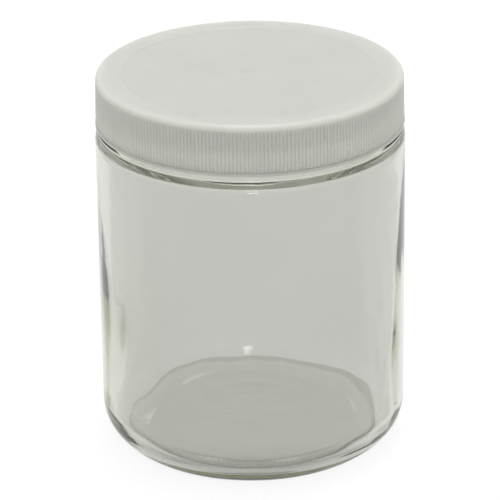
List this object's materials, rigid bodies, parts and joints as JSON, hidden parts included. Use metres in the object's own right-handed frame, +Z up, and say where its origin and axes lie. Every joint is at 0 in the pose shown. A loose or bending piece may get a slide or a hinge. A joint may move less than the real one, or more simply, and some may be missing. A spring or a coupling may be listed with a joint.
{
  "type": "wide-mouth glass bottle",
  "caption": "Clear glass wide-mouth jar with a straight wall and a threaded neck, closed by a ribbed plastic screw cap with a sealing liner.",
  "frame": {"origin": "on the table plane under the middle of the base, on the jar's axis", "axes": "+Z up along the jar's axis, from the base to the cap; X and Y level"},
  "size_m": [0.073, 0.073, 0.0923],
  "materials": {
    "clear_glass": "clear blown soda-lime glass with a faint green-grey tint, fire polished",
    "cap_plastic": "white moulded polypropylene, fine satin panel and ribbed skirt",
    "liner_foam": "white foamed polyethylene disc, soft and matt"
  },
  "bodies": {
    "jar": {"glass_jar": "clear_glass"},
    "liner": {"cap_liner": "liner_foam"},
    "cap": {"screw_cap": "cap_plastic"}
  },
  "joints": [
    {"name": "cap_rise", "type": "slide", "parent": "jar", "child": "liner", "axis": [0, 0, 1], "range_m": [0, 0.0127]},
    {"name": "cap_turn", "type": "hinge", "parent": "liner", "child": "cap", "pos_m": [0, 0, 0.09], "axis": [0, 0, 1], "range_deg": [0, 1080]}
  ],
  "couplings": [
    {"joint": "cap_rise", "follows": "cap_turn", "m_per_rad": 0.00067375}
  ]
}
